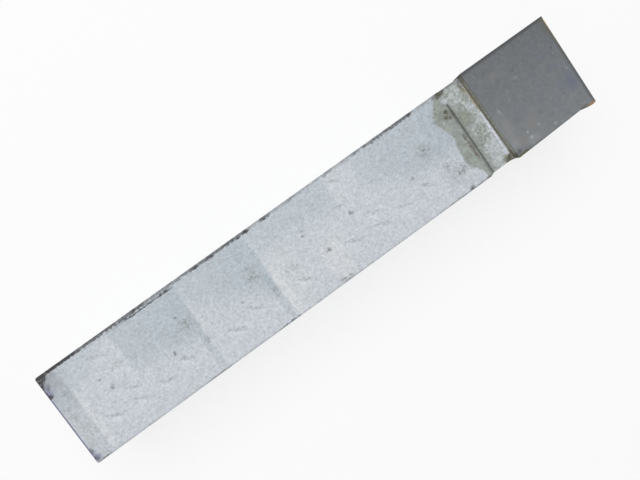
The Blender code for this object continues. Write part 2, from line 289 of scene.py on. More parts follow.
# Bare, blackened lines along the top edges. Each line has its distance left of the middle, its half width,
# and places from the back end with how dark it is there, blended in between. A ramp holds at most 32 places.
LEFT_LINE_Y, LEFT_LINE_HALF = 9.24, 0.29
LEFT_LINE = (
    (0.0, 1.0), (7.8, 1.0), (9.6, 0.86), (14.5, 0.83), (20.4, 0.78), (21.2, 1.0), (23.0, 0.90),
    (23.6, 0.50), (31.0, 0.60), (34.0, 0.74), (46.4, 0.80), (47.0, 0.20), (49.0, 0.24), (49.4, 0.95),
    (51.0, 0.80), (51.6, 0.24), (55.6, 0.28), (56.1, 0.70), (56.8, 0.26), (63.2, 0.14), (63.8, 0.60),
    (66.0, 0.32), (70.0, 0.24), (70.6, 0.60), (72.4, 0.26), (73.0, 0.72), (82.0, 0.78), (83.8, 0.95),
    (84.3, 0.12), (88.6, 0.16), (90.0, 0.55), (92.2, 0.36),
)
RIGHT_LINE_Y, RIGHT_LINE_HALF = -9.42, 0.16
RIGHT_LINE = (
    (0.0, 0.55), (2.6, 0.55), (3.4, 0.0), (24.2, 0.0), (25.0, 0.46), (29.3, 0.46), (29.8, 0.0),
    (37.6, 0.0), (39.0, 0.10), (41.0, 0.20), (41.6, 0.58), (45.0, 0.62), (45.6, 0.0), (78.0, 0.0),
    (80.4, 0.36), (87.6, 0.42), (88.4, 0.10), (90.0, 0.0),
)
INNER_LINE_Y, INNER_LINE_HALF = 8.62, 0.13
INNER_LINE = (
    (9.4, 0.0), (10.4, 0.24), (15.2, 0.24), (16.2, 0.28), (18.6, 0.28), (19.4, 0.86), (29.0, 0.92),
    (29.4, 0.0),
)

# How far the lines' edges wander, and where the lines fade out and in, in half widths
LINE_WOBBLE = 2.4
LINE_RIM = (1.4, 0.8)

# Chips at the corners of the back end and along the left edge, and the violet-dark line along the back edge
EDGE_CHIPS = (
    (0.4, 9.0, 2.1, 1.0, 0, 0.75),
    (0.8, 8.3, 1.3, 0.9, 30, 1.0),
    (0.1, 7.3, 0.6, 1.1, 0, 0.7),
    (1.0, 6.6, 0.5, 0.5, 0, 0.4),
    (0.4, 5.1, 0.8, 0.5, 0, 1.0),
    (0.1, 5.8, 0.45, 1.0, 0, 0.95),
    (0.5, -7.1, 0.45, 0.9, 0, 0.5),
    (0.5, -8.6, 0.5, 0.8, 0, 0.55),
    (5.4, 9.12, 3.4, 0.31, 0, 0.7),
    (34.6, 9.0, 0.9, 0.32, 0, 0.7),
    (37.8, 8.95, 1.1, 0.38, 0, 0.65),
    (41.4, 9.0, 0.8, 0.34, 0, 0.2),
    (43.4, 8.95, 1.3, 0.38, 0, 0.3),
    (45.8, 8.98, 0.9, 0.36, 0, 0.9),
)
BACK_LINE = (
    (0.05, 3.0, 0.46, 8.0, 0, 0.85),
    (0.05, -4.6, 0.46, 7.0, 0, 0.95),
    (0.6, 7.0, 1.4, 1.2, 0, 0.32),
    (0.5, 5.6, 1.4, 1.1, 0, 0.55),
    (0.5, -7.3, 0.9, 0.9, 0, 0.35),
    (0.8, -8.5, 1.0, 0.9, 0, 0.60),
)

# Bands of tone along the shank's left half. Each row has the place where a band starts, its tone where it
# starts and ends, and how far left of the middle the tone sets in where it starts and ends. Then come how
# strongly a tone shades the paint, and how softly it sets in across the shank and along it.
TONE_BANDS = (
    (0.0, 0.88, 0.84, 2.0, 1.0),
    (3.9, 0.89, 0.97, 2.5, 7.5),
    (15.1, 0.88, 0.81, 0.5, -2.0),
    (29.3, 0.90, 0.81, 3.5, -3.0),
    (44.9, 0.91, 0.88, 4.0, 3.0),
    (62.9, 0.99, 0.97, 4.0, 3.0),
    (69.0, 0.90, 0.85, 3.0, -1.0),
    (78.0, 0.85, 0.84, -1.0, -2.0),
)
BAND_SHADE = 2.7
BAND_SIDE_BLUR = 3 * MM
BAND_BLUR = 0.0012

# Lighter and darker patches of the paint
LIGHT_PATCHES = (
    (56.8, -5.2, 2.7, 4.6, 0, 0.30),
    (58.4, -1.4, 1.2, 1.2, 0, 0.20),
    (45.7, -4.4, 0.85, 6.0, 0, 0.36),
    (47.5, -3.0, 3.2, 7.0, 0, 0.12),
    (4.5, -3.0, 0.65, 8.0, 0, 0.30),
    (60.6, -1.6, 2.4, 0.25, 0, 0.20),
    (65.0, 6.0, 4.0, 3.4, 0, 0.07),
    (29.9, 3.0, 0.6, 6.0, 0, 0.12),
)
DARK_PATCHES = (
    (28.5, -5.0, 0.85, 4.6, 0, 0.22),
    (44.1, -4.6, 0.85, 5.6, 0, 0.26),
    (86.6, -1.0, 3.6, 12.0, 0, 0.12),
)
DARK_CLOUDS = (
    (0.6, 8.4, 5.0, 4.6, 0, 0.80),
    (27.0, 1.2, 3.0, 2.8, 0, 0.14),
    (42.2, 1.2, 3.0, 2.8, 0, 0.14),
    (81.5, 1.2, 3.6, 3.2, 0, 0.26),
    (84.0, -5.0, 3.0, 3.6, 0, 0.30),
)
BACK_BAND = (
    (1.9, 0.0, 2.2, 16.0, 0, 0.22),
    (3.2, 6.0, 0.9, 3.8, 0, 0.16),
)

# Where the stain behind the neck's groove begins: a place left of the middle, and its distance from the back
# end there
STAIN_EDGE = (
    (-9.4, 89.3),
    (-8.0, 89.3),
    (-6.6, 88.5),
    (-5.7, 87.7),
    (-4.4, 87.2),
    (-1.0, 87.5),
    (0.5, 88.1),
    (2.1, 87.6),
    (4.1, 86.8),
    (5.6, 86.9),
    (6.6, 87.4),
    (7.6, 88.1),
    (8.4, 88.5),
    (9.0, 90.3),
)

# The groove: its place, where the painted shade in it starts and is full at its left end, and the shade's
# own fade
GROOVE_X = 90.6
GROOVE_SHADE_END = (7.0, 6.2)
GROOVE_SHADE_FADE = (0.62 * MM, 0.10 * MM, 0.0, 0.86)

# Marks on the neck and beside the groove, from the stain to the rim at the seat
NECK_STAINS = (
    (91.9, 3.1, 2.1, 3.0, 0, 1.0),
    (91.2, 0.0, 0.9, 6.6, 0, 0.9),
    (93.5, -0.9, 1.4, 1.3, 30, 0.6),
    (94.0, -2.3, 0.8, 1.0, 0, 0.5),
    (91.6, -3.4, 0.8, 1.4, 0, 0.8),
    (92.4, -2.6, 1.25, 1.4, 0, 0.85),
    (92.4, 0.1, 1.2, 1.1, 0, 0.5),
    (94.2, -3.0, 0.9, 1.0, 0, 0.4),
    (94.2, 2.4, 0.8, 1.1, 0, 0.35),
    (91.3, -6.6, 0.95, 2.8, 0, 0.7),
    (94.1, -6.6, 0.6, 0.6, 0, 0.15),
    (94.4, 5.2, 0.9, 1.3, 0, 0.50),
    (91.3, 8.1, 0.8, 0.7, 0, 0.60),
    (91.5, -8.8, 1.3, 0.9, 0, 0.50),
    (94.2, 0.4, 0.7, 0.8, 0, 0.35),
    (92.4, 7.2, 1.4, 1.4, 0, 0.15),
    (92.9, 6.9, 2.6, 3.0, 0, 0.28),
    (94.3, 7.2, 1.0, 2.4, 0, 0.32),
    (93.5, 1.8, 0.8, 1.0, 0, 0.50),
    (94.3, -8.7, 1.2, 0.8, 0, 0.9),
)
OLIVE_STAINS = (
    (87.9, 6.8, 1.9, 0.9, 50, 0.40),
    (88.4, 5.2, 1.2, 1.0, 0, 0.45),
    (92.2, 2.7, 1.4, 2.0, 0, 0.60),
    (93.4, -1.7, 0.7, 0.7, 0, 0.40),
    (93.8, -1.3, 0.9, 1.2, 0, 0.55),
    (94.5, -8.4, 1.5, 0.75, 8, 0.95),
    (94.2, 6.6, 1.0, 1.6, 0, 0.20),
    (91.3, 2.5, 0.8, 2.8, 0, 0.60),
    (89.6, -0.6, 0.7, 1.4, 0, 0.60),
    (89.6, 4.9, 0.9, 1.2, 0, 0.50),
    (88.6, -3.4, 0.9, 1.6, 0, 0.30),
)
PALE_MARKS = (
    (90.35, 7.3, 0.85, 0.85, 0, 0.60),
    (88.1, 3.9, 0.22, 0.34, 0, 0.6),
    (92.8, -4.9, 0.8, 0.5, 0, 0.15),
)
RUST_MARKS = (
    (89.9, -3.2, 0.42, 3.2, 0, 0.85),
    (89.8, -0.4, 0.40, 0.9, 0, 0.90),
    (93.2, 9.35, 2.0, 0.35, 0, 0.25),
    (94.8, 8.1, 0.8, 1.2, 0, 0.75),
)
NECK_SPECKS_AND_SEAM_SHADE = (
    (90.2, 9.1, 1.8, 1.0, 0, 0.55),
    (89.6, 5.0, 0.8, 1.5, 0, 0.30),
    (90.5, 9.3, 1.6, 0.7, 0, 0.50),
    (91.3, 9.0, 0.8, 0.6, 0, 0.50),
    (90.1, 8.8, 1.4, 0.6, 0, 0.6),
    (88.9, 8.9, 0.6, 0.5, 0, 0.5),
    (89.5, 5.6, 0.64, 0.60, 0, 0.95),
    (88.9, 4.6, 0.72, 0.60, 0, 0.85),
    (89.7, 4.2, 0.46, 0.46, 0, 0.8),
    (90.0, 6.9, 0.4, 0.7, 0, 0.4),
    (86.6, 5.2, 0.7, 0.7, 0, 0.40),
    (92.0, -4.9, 0.32, 0.30, 0, 0.7),
    (91.9, -3.5, 0.26, 0.26, 0, 0.5),
    (87.0, 6.0, 0.26, 0.36, 0, 0.5),
    (89.4, -9.2, 0.9, 0.3, 0, 0.7),
    (95.0, -8.7, 1.7, 0.8, 20, 1.0),
    (95.3, 8.9, 0.7, 0.8, 0, 0.6),
    # A long line of painted shade in the seam at the rim's foot
    (95.45, -1.0, 0.22, 9.0, 0, 0.75),
    (95.3, -8.7, 0.8, 1.0, 0, 1.0),
    (95.1, -9.0, 0.9, 0.8, 0, 1.0),
    (95.5, -8.3, 0.7, 1.1, 0, 1.0),
    (95.3, -9.1, 1.5, 0.6, 8, 1.0),
    # Painted shade at the rim's foot
    (95.55, -7.0, 0.28, 1.6, 0, 0.8),
    (90.4, 4.5, 0.55, 1.9, 0, 0.55),
    (94.8, 7.2, 0.4, 0.4, 0, 0.6),
)
# Painted highlight along the edge of the rim at the seat
RIM_PAINTED_HIGHLIGHT = (
    (95.0, -3.0, 0.32, 5.2, 0, 0.9),
    (94.9, -6.9, 0.55, 0.9, 0, 1.0),
)
RIM_TAN = (
    (95.2, 4.2, 0.42, 3.4, 0, 1.0),
    (94.8, 6.6, 0.5, 1.2, 0, 0.7),
    (94.3, -7.9, 0.6, 0.4, 30, 0.5),
)

# Marks on the carbide plate and along its edges
BLUE_CLOUDS = (
    (113.6, -3.5, 2.0, 3.0, 0, 0.9),
    (112.2, 0.8, 1.3, 0.9, 0, 0.6),
    (111.4, -3.0, 1.7, 1.9, 0, 0.5),
    (111.0, 3.5, 1.6, 1.2, 0, 0.4),
    (101.6, -2.6, 3.0, 1.4, 0, 0.3),
)
BROWN_CLOUDS = (
    (102.6, -5.6, 2.8, 2.2, 30, 0.6),
    (99.0, -7.6, 2.6, 1.8, 0, 0.6),
    (113.8, 2.8, 0.6, 0.5, 0, 0.7),
    (100.5, 6.0, 2.4, 1.2, 0, 0.2),
    (98.2, -3.6, 2.0, 4.5, 0, 0.25),
)
LIGHT_FLECKS_AND_SEAM_LIGHT = (
    (97.7, -4.2, 2.4, 5.5, 0, 0.12),
    (101.2, -8.3, 2.4, 1.5, 0, 0.22),
    (97.2, -7.1, 1.5, 2.0, 0, 0.16),
    # A strip of painted light along the plate's back edge, lifting the shade in the seam
    (96.45, -4.0, 0.28, 5.5, 0, 0.25),
    (100.7, -6.7, 0.46, 0.42, 0, 0.65),
    (103.4, -6.7, 0.42, 0.36, 0, 0.5),
    (100.9, -7.9, 0.55, 0.50, 0, 0.6),
    (106.3, -8.5, 0.8, 0.34, 0, 0.45),
    (98.3, -0.4, 0.4, 1.1, 10, 0.32),
    (104.6, 3.2, 1.1, 0.5, 0, 0.22),
    (101.9, 1.8, 0.46, 0.46, 0, 0.2),
    (114.2, -1.0, 0.3, 0.5, 0, 0.4),
    (97.9, 8.0, 0.4, 0.9, 10, 0.14),
)
DARK_FLECKS = (
    (113.9, 3.9, 0.42, 0.46, 0, 0.7),
    (104.1, 2.9, 0.3, 0.5, 0, 0.3),
    (97.2, -8.8, 1.0, 0.7, 20, 0.95),
    (98.3, -9.3, 0.9, 0.4, 0, 0.8),
)
PLATE_EDGE_OLIVE = (
    (97.7, -9.75, 2.9, 0.62, 0, 1.0),
    (112.9, -9.35, 1.5, 0.5, -3, 0.7),
    (115.6, 2.0, 0.4, 4.5, 1, 0.5),
    (115.0, 7.6, 1.2, 3.2, 0, 0.30),
)
PLATE_EDGE_GOLD_AND_HIGHLIGHT = (
    # Along the front-left top edge: a gold tint of braze that is also a painted highlight on the edge
    (115.85, 8.2, 0.48, 2.6, 1, 1.0),
    (115.80, 5.0, 0.34, 3.2, 1, 0.55),
    (114.4, -9.4, 1.0, 0.42, 3, 0.7),
)

# Marks on the braze: flux left on it, painted shade along the seam at the rim's foot, its olive and clean
# stretches, and a pale grey stretch of painted light along the plate's back edge
FLUX_AND_SEAM_SHADE = (
    (115.7, -10.0, 0.5, 0.6, 0, 0.7),
    # The next two rows: dark flux with painted shade along the seam at the rim's foot
    (95.68, -1.5, 0.36, 8.5, 0, 0.55),
    (95.6, 6.5, 0.36, 2.8, 0, 0.50),
    (95.75, -8.1, 0.6, 1.3, 0, 0.8),
    (96.0, -9.2, 1.7, 1.1, 0, 1.0),
    (95.9, 8.9, 0.9, 1.1, 0, 0.75),
)
OLIVE_BRAZE = (
    (95.75, -3.0, 0.55, 10.0, 0, 0.60),
    (95.85, 5.2, 0.75, 6.0, 0, 0.72),
)
# Pale grey painted light on the braze along the plate's back edge, lifting the shade in the seam
SEAM_PAINTED_LIGHT = ((96.36, 0.0, 0.40, 11.0, 0, 0.75),)
CLEAN_BRAZE = (
    (96.9, -10.1, 2.4, 0.45, 8, 0.9),
    (114.9, -9.9, 1.9, 0.9, 0, 0.85),
)

# Colours of the marks
SHADE_COLOUR = linear(151, 165, 174)
LIGHT_COLOUR = linear(220, 221, 221)
SMUDGE_COLOUR = linear(124, 125, 120)
SPECK_COLOUR = linear(84, 86, 86)
RUST_COLOUR = linear(98, 91, 84)
NECK_SPECK_AND_SHADE_COLOUR = linear(78, 74, 62)
NECK_COLOUR = linear(186, 192, 195)
GROOVE_SHADE_COLOUR = linear(102, 106, 103)
TAN_COLOUR = linear(142, 132, 104)
PALE_COLOUR = linear(196, 204, 212)
RIM_HIGHLIGHT_COLOUR = linear(212, 213, 224)
HEAT_COLOUR = linear(112, 96, 78)
WORN_COLOUR = linear(118, 120, 122)
BLUE_COLOUR = linear(98, 103, 117)
BROWN_COLOUR = linear(122, 119, 116)
FLECK_AND_SEAM_LIGHT_COLOUR = linear(164, 166, 165)
EDGE_SHADE_COLOUR = linear(70, 72, 74)
OLIVE_COLOUR = linear(88, 85, 66)
OLIVE_BRAZE_COLOUR = linear(94, 92, 77)
OLIVE_STAIN_COLOUR = linear(124, 131, 114)
CLOUD_COLOUR = linear(150, 154, 159)
BACK_LINE_COLOUR = linear(98, 93, 138)
GOLD_AND_HIGHLIGHT_COLOUR = linear(154, 127, 80)
FLUX_AND_SHADE_COLOUR = linear(70, 66, 52)
SEAM_LIGHT_COLOUR = linear(132, 134, 134)

# Paint: grain sizes, and how far coordinates are pushed about for uneven edges, as spot size and reach
BROAD_GRAIN = 1.7 * MM
BLOTCH_GRAIN = 0.55 * MM
LINE_GRAIN = 0.7 * MM
SCUFF_PATCH_GRAIN = 14 * MM
SCUFF_SIZES = (12 * MM, 0.9 * MM, 0.9 * MM)
SAW_SIZES = (1000 * MM, 6 * MM, 0.35 * MM)
SAW_TURN = 12
RAGGED = (0.8 * MM, 0.5 * MM)
JAGGED = (0.45 * MM, 0.5 * MM)
WAVED = (1.3 * MM, 1.3 * MM)

# Where a finish starts and where it is full. Depths are below the top or the plate's base, the neck and the
# heat tint are in millimetres from the back end, and two more numbers are the finish's share at each place.
TOP_FADE = (0.7 * MM, 0.2 * MM)
LINE_DEPTH = (0.9 * MM, 0.5 * MM)
GROOVE_SHADE_DEPTH = (1.2 * MM, 0.6 * MM)
UNWORN_DEPTH = (2 * MM, 1 * MM)
UNWORN_SIDE = (-8 * MM, -9 * MM)
SAW_DEPTH = (0.25 * MM, 0.1 * MM)
NECK_FADE = (GROOVE_X - 0.1, GROOVE_X + 0.25)
HEAT_ALONG = (89.5, 95.5)
HEAT_DEPTH = (5 * MM, 0.5 * MM)
STAIN_EDGE_FADE = (-0.2 * MM, 0.3 * MM)
WORN_EDGE = (0.42 * MM, 0.1 * MM, 0.0, 0.45)
WORN_RAGGED = 0.9 * MM

# How a noise breaks up a mask: from which value of the noise to which, and the mask's share at each
RIPPLE_BREAKS = (0.30, 0.56, 0.3, 1.0)
SMUDGE_BREAKS = (0.60, 0.42, 0.2, 1.0)
SPECK_BREAKS = (0.62, 0.42, 0.55, 1.0)
STAIN_BREAKS = (0.30, 0.55, 0.78, 1.0)
VEIN_BREAKS = (0.45, 0.58, 0.0, 0.45)
FLAKE_BREAKS = (0.30, 0.52, 0.5, 1.0)
RIM_HIGHLIGHT_BREAKS = (0.36, 0.58, 0.3, 1.0)
NECK_SPECK_AND_SHADE_BREAKS = (0.62, 0.42, 0.80, 1.0)
CHIP_BREAKS = (0.64, 0.46, 0.6, 1.0)
LINE_BREAKS = (0.38, 0.58, 0.80, 1.0)
HEAT_BREAKS = (0.35, 0.6, 0.25, 0.8)
SCUFF_BREAKS = (0.50, 0.72, 0.0, 0.55)
SCUFF_PATCH_BREAKS = (0.42, 0.60, 0.15, 1.0)
SAW_BREAKS = (0.42, 0.62)
WARM_SPOTS = (0.52, 0.70, 0.0, 0.18)
COOL_SPOTS = (0.48, 0.30, 0.0, 0.18)
FLUX_SPOTS = (0.5, 0.68, 0.0, 0.6)
CLEAN_SPOTS = (0.50, 0.30, 0.0, 0.6)
OLIVE_BREAKS = (0.62, 0.40, 0.35, 1.0)

# Paint: how much each noise changes the brightness, what the veins are made of, the relief and the gloss
BROAD_MOTTLE = 0.14
NECK_MOTTLE = 0.25
STAIN_MOTTLE = 0.35
VEIN_BLOTCH, VEIN_BROAD = 0.6, 0.4
SAW_TINT = 0.30
BROAD_HEIGHT = 0.8
FINE_HEIGHT = 0.6
RIPPLE_HEIGHT = 0.5
CHIP_HEIGHT = 0.9
SAW_HEIGHT = 0.8
PAINT_ROUGH = 0.36
PAINT_ROUGH_CHANGE = 0.3
STAIN_ROUGH = 0.2
CHIP_METAL = 0.2

# Carbide: its tone, which rises from its left side to its right, its grains and their changes of brightness,
# the painted shade along each edge of its top, and the flux that has climbed its sides
PLATE_TONE_LOW = 0.86
PLATE_TONE_RISE = 0.39
CARBIDE_RAGGED = (0.9 * MM, 0.7 * MM)
CARBIDE_JAGGED = (0.4 * MM, 0.4 * MM)
CARBIDE_FINE_GRAIN = 0.38 * MM
CARBIDE_MID_GRAIN = 1.1 * MM
CARBIDE_CLOUD_GRAIN = 3.2 * MM
CARBIDE_WARMTH_GRAIN = 2.4 * MM
CARBIDE_MOTTLES = (0.62, 0.40, 0.16)
LEFT_RIM_SHADE, LEFT_RIM_SHADE_STRENGTH = (0.85 * MM, 0.35 * MM), 0.95
FRONT_RIM_SHADE, FRONT_RIM_SHADE_STRENGTH = (0.85 * MM, 0.3 * MM), 0.62
RIGHT_RIM_SHADE, RIGHT_RIM_SHADE_STRENGTH = (0.62 * MM, 0.15 * MM), 0.55
FLUX_CLIMB = (1.4 * MM, 0.2 * MM)
FLUX_CLIMB_CHANGE = 3 * MM
FLUX_CLIMB_TINT = 0.75
CARBIDE_RELIEF = 0.018 * MM
CARBIDE_ROUGH_CHANGE = 0.35
CARBIDE_METAL = 0.35

# Braze: its grains, how deep below the plate's top it turns clean, and how much flux its top keeps
BRAZE_RAGGED = (0.6 * MM, 0.5 * MM)
BRAZE_FINE_GRAIN = 0.3 * MM
BRAZE_CLOUD_GRAIN = 1.1 * MM
BRAZE_MOTTLE = 1.1
BRAZE_CLEAN_DEPTH = (0.5 * MM, 1.3 * MM)
FLUX_ON_TOP = 0.3
BRAZE_RELIEF = 0.05 * MM
BRAZE_ROUGH = 0.25
BRAZE_ROUGH_CHANGE = 0.5
BRAZE_METAL = 0.35

# Braze mesh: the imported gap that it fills, how near to steel or carbide it wets them, how far it sinks in,
# its lumps, and how level it stands in the seam behind the plate
JOINT_GAP = 0.3 * MM
WET_REACH = 1.3 * JOINT_GAP
WET_BLEND = 0.3
WET_SINK = 0.04 * MM
MERGE_DISTANCE = 0.001 * MM
LUMP_SIZE = 0.9 * MM
LUMP_SMOOTHNESS = 0.8
LUMP_STEP = 2.0
LUMP_OCTAVES = 3
BRAZE_BELOW_PLATE = 0.04 * MM
SEAM_DIP = 0.55 * MM
SEAM_FILL = 0.8

# Stage, in metres; the camera's place and aim are in millimetres on the tool
FLOOR_HALF = 1.5
FLOOR_GREY = 0.93
FLOOR_GLOW = 0.76
KEY_SIZE = 0.5
KEY_PLACE = (-0.04, 0.2, 0.5)
CAMERA_PLACE = (46.04, 8.34, 129.19)
CAMERA_AIM = (56.17, -0.17, 0.0)
CAMERA_UP_TURN = 54.38
CAMERA_SENSOR = 36
CAMERA_NEAR = 0.005


class ToolBitPaint(bpy.types.PropertyGroup):
    """The shank's paint and its wear."""

    colour: bpy.props.FloatVectorProperty(
        name="Paint", description="Colour of the silver paint", subtype="COLOR", size=3, min=0, max=1,
        default=linear(195, 201, 207),
    )
    stain: bpy.props.FloatVectorProperty(
        name="Stain", description="Colour of the grey-green flux stain near the plate", subtype="COLOR",
        size=3, min=0, max=1, default=linear(144, 150, 144),
    )
    bare: bpy.props.FloatVectorProperty(
        name="Bare steel", description="Colour of the blackened steel where the paint is gone",
        subtype="COLOR", size=3, min=0, max=1, default=linear(38, 36, 39),
    )
    grain: bpy.props.FloatProperty(
        name="Grain size", description="Size of the paint's fine mottling", subtype="DISTANCE",
        unit="LENGTH", min=0.1 * MM, max=2 * MM, default=0.48 * MM,
    )
    mottle: bpy.props.FloatProperty(
        name="Mottle", description="How much the fine mottling changes the paint's brightness",
        subtype="FACTOR", min=0, max=1, default=0.90,
    )
    relief: bpy.props.FloatProperty(
        name="Relief", description="Depth of the paint's texture", subtype="DISTANCE", unit="LENGTH",
        min=0, max=0.5 * MM, default=0.05 * MM,
    )


class ToolBitPlate(bpy.types.PropertyGroup):
    """The carbide plate's surface."""

    colour: bpy.props.FloatVectorProperty(
        name="Carbide", description="Colour of the carbide", subtype="COLOR", size=3, min=0, max=1,
        default=linear(103, 107, 110),
    )
    roughness: bpy.props.FloatProperty(
        name="Roughness", description="Roughness of the carbide", subtype="FACTOR", min=0, max=1,
        default=0.52,
    )


class ToolBitBraze(bpy.types.PropertyGroup):
    """The braze that holds the plate."""

    colour: bpy.props.FloatVectorProperty(
        name="Braze", description="Colour of the oxidised braze", subtype="COLOR", size=3, min=0, max=1,
        default=linear(111, 113, 108),
    )
    bright: bpy.props.FloatVectorProperty(
        name="Bright braze", description="Colour of the braze where it is clean", subtype="COLOR", size=3,
        min=0, max=1, default=linear(168, 126, 84),
    )
    cell: bpy.props.FloatProperty(
        name="Mesh size", description="Cell size of the braze's mesh", subtype="DISTANCE", unit="LENGTH",
        min=0.05 * MM, max=1 * MM, default=0.14 * MM,
    )
    lumps: bpy.props.FloatProperty(
        name="Lumps", description="How uneven the braze's free surface is", subtype="DISTANCE",
        unit="LENGTH", min=0, max=0.5 * MM, default=0.07 * MM,
    )


class ToolBitStudio(bpy.types.PropertyGroup):
    """The floor, lights and camera."""

    ambient: bpy.props.FloatProperty(
        name="Ambient", description="Strength of the light from all around", min=0, max=4, default=0.455,
    )
    key_power: bpy.props.FloatProperty(
        name="Key light", description="Power of the large soft lamp", unit="POWER", min=0, max=100,
        default=1.89,
    )
    lens: bpy.props.FloatProperty(
        name="Lens", description="Focal length of the camera", unit="CAMERA", min=10, max=200, default=39.4,
    )


class PaintShading(Shading):
    """The paint's material, with the places and the noises that its marks share."""

    def __init__(self, fine_grain):
        super().__init__("silver_painted_steel")
        self.x, self.y, self.z = self.axes()
        self.ragged = self.pushed(*RAGGED)
        self.jagged = self.pushed(*JAGGED)
        self.waved = self.pushed(*WAVED)
        self.fine = self.grain(fine_grain, detail=3.0, distortion=0.7)
        self.broad = self.grain(BROAD_GRAIN)
        self.blotch = self.grain(BLOTCH_GRAIN, detail=1.0)
        self.top_face = self.fade(self.z, TOP_Z - TOP_FADE[0], TOP_Z - TOP_FADE[1])
        self.below = self.minus(1.0, self.top_face)
        self.neck = self.fade(self.x, BACK_X + NECK_FADE[0] * MM, BACK_X + NECK_FADE[1] * MM)


def ramp(s, value, stops):
    """A colour that changes along a value; a stop is a position from 0 to 1 and a red, green and blue."""
    made = s.node("ShaderNodeValToRGB", {0: value})
    elements = made.color_ramp.elements
    for _ in stops[2:]:
        elements.new(0.5)
    for element, (position, colour) in zip(elements, stops):
        element.position = position
        element.color = (*colour, 1)
    return made.outputs["Color"]


def tone_bands(s):
    """The bands along the shank: their tone, and how far left of the middle it sets in."""
    ends = [row[0] for row in TONE_BANDS[1:]] + [LENGTH]
    stops = []
    for (start, first, last, first_reach, last_reach), end in zip(TONE_BANDS, ends):
        stops.append((start / LENGTH + BAND_BLUR, (first, first_reach / (2 * WIDTH) + 0.5, 0)))
        stops.append((end / LENGTH - BAND_BLUR, (last, last_reach / (2 * WIDTH) + 0.5, 0)))
    colour = ramp(s, s.span(s.x, BACK_X, NOSE_X), stops)
    tone, share, _ = s.node("ShaderNodeSeparateColor", {0: colour}).outputs
    return tone, s.math("MULTIPLY_ADD", share, 2 * WIDTH * MM, -WIDTH * MM)


def stain_edge(s):
    """How far forward the stain's back edge lies, as a length in metres from the back end."""
    distances = [along for _, along in STAIN_EDGE]
    low, high = min(distances), max(distances)
    stops = [(left / WIDTH + 0.5, [(along - low) / (high - low)] * 3) for left, along in STAIN_EDGE]
    share = ramp(s, s.span(s.y, -SIDE_Y, SIDE_Y), stops)
    return s.math("MULTIPLY_ADD", share, (high - low) * MM, low * MM)


def ovals(s, place, rows, core, depth=3.0):
    """The sum of oval marks, which reach as deep below the top as depth says, in millimetres."""
    result = 0.0
    for along, left, half_length, half_width, turn, strength in rows:
        half_sizes = (half_length, half_width, depth)
        one = s.oval(place, on_tool(along, left), half_sizes, turn, strength, core)
        result = s.math("ADD", one, result, clamp=True)
    return result


def broken(s, mask, spots, breaks):
    """A mask broken up by a noise."""
    return s.times(mask, s.fade(spots, *breaks))


def centred(s, spots, amount):
    """A noise as a change around zero."""
    return s.math("MULTIPLY_ADD", spots, amount, -amount / 2)


def edge_line(s, rows, left, half_width):
    """A broken dark line along the shank, at one distance from its middle."""
    x, y, _ = s.axes(s.jagged)
    stops = [(along / LENGTH, (dark, dark, dark)) for along, dark in rows]
    darkness = ramp(s, s.span(x, BACK_X, NOSE_X), stops)
    spots = s.grain(LINE_GRAIN, detail=1.0)
    away = s.math("ABSOLUTE", s.minus(y, left * MM))
    away = s.minus(away, centred(s, spots, LINE_WOBBLE * half_width * MM))
    line = s.fade(away, half_width * LINE_RIM[0] * MM, half_width * LINE_RIM[1] * MM)
    line = broken(s, line, spots, LINE_BREAKS)
    line = s.times(line, s.fade(s.z, TOP_Z - LINE_DEPTH[0], TOP_Z - LINE_DEPTH[1]))
    return s.times(line, darkness)


def ripples(s):
    """Short slanting dents in the paint: their dark lines of painted shade, and the painted highlight below
    each.
    """
    # dark holds the dents with their painted shade, light the rows of their painted highlights
    dark, light = [
        [(along + shift[0], left + shift[1], *size, RIPPLE_TURN, 1.0) for along, left in RIPPLES]
        for size, shift in ((RIPPLE_SIZE, (0, 0)), (RIPPLE_HIGHLIGHT_SIZE, RIPPLE_HIGHLIGHT_SHIFT))
    ]
    dark = broken(s, ovals(s, s.waved, dark, core=0.35), s.blotch, RIPPLE_BREAKS)
    return dark, ovals(s, s.waved, light, core=0.0)


def edge_distance(s):
    """Distance to the nearest of the bar's long edges and back edges."""
    side = s.minus(SIDE_Y, s.math("ABSOLUTE", s.y))
    floor_or_top = s.math("MINIMUM", s.minus(TOP_Z, s.z), s.z)
    long_edges = s.math("MAXIMUM", side, floor_or_top)
    back_edges = s.math("MAXIMUM", s.minus(s.x, BACK_X), s.math("MINIMUM", side, floor_or_top))
    return s.math("MINIMUM", long_edges, back_edges)


def paint_coat(s, colour):
    """The paint's colour in bands, patches and clouds, and paler on the neck."""
    tone, reach = tone_bands(s)
    banded = s.fade(s.minus(s.y, reach), -BAND_SIDE_BLUR, BAND_SIDE_BLUR)
    shade = s.times(s.times(s.minus(1.0, tone), banded), BAND_SHADE)
    shade = s.total([shade, ovals(s, s.place, DARK_PATCHES, core=0.85)])
    colour = s.mix(s.times(shade, s.top_face), colour, SHADE_COLOUR)
    colour = s.mix(ovals(s, s.waved, DARK_CLOUDS, core=0.0), colour, CLOUD_COLOUR)
    colour = s.mix(ovals(s, s.place, BACK_BAND, core=0.9), colour, CLOUD_COLOUR)
    colour = s.mix(ovals(s, s.place, LIGHT_PATCHES, core=0.85), colour, LIGHT_COLOUR)
    return s.mix(s.neck, colour, NECK_COLOUR)


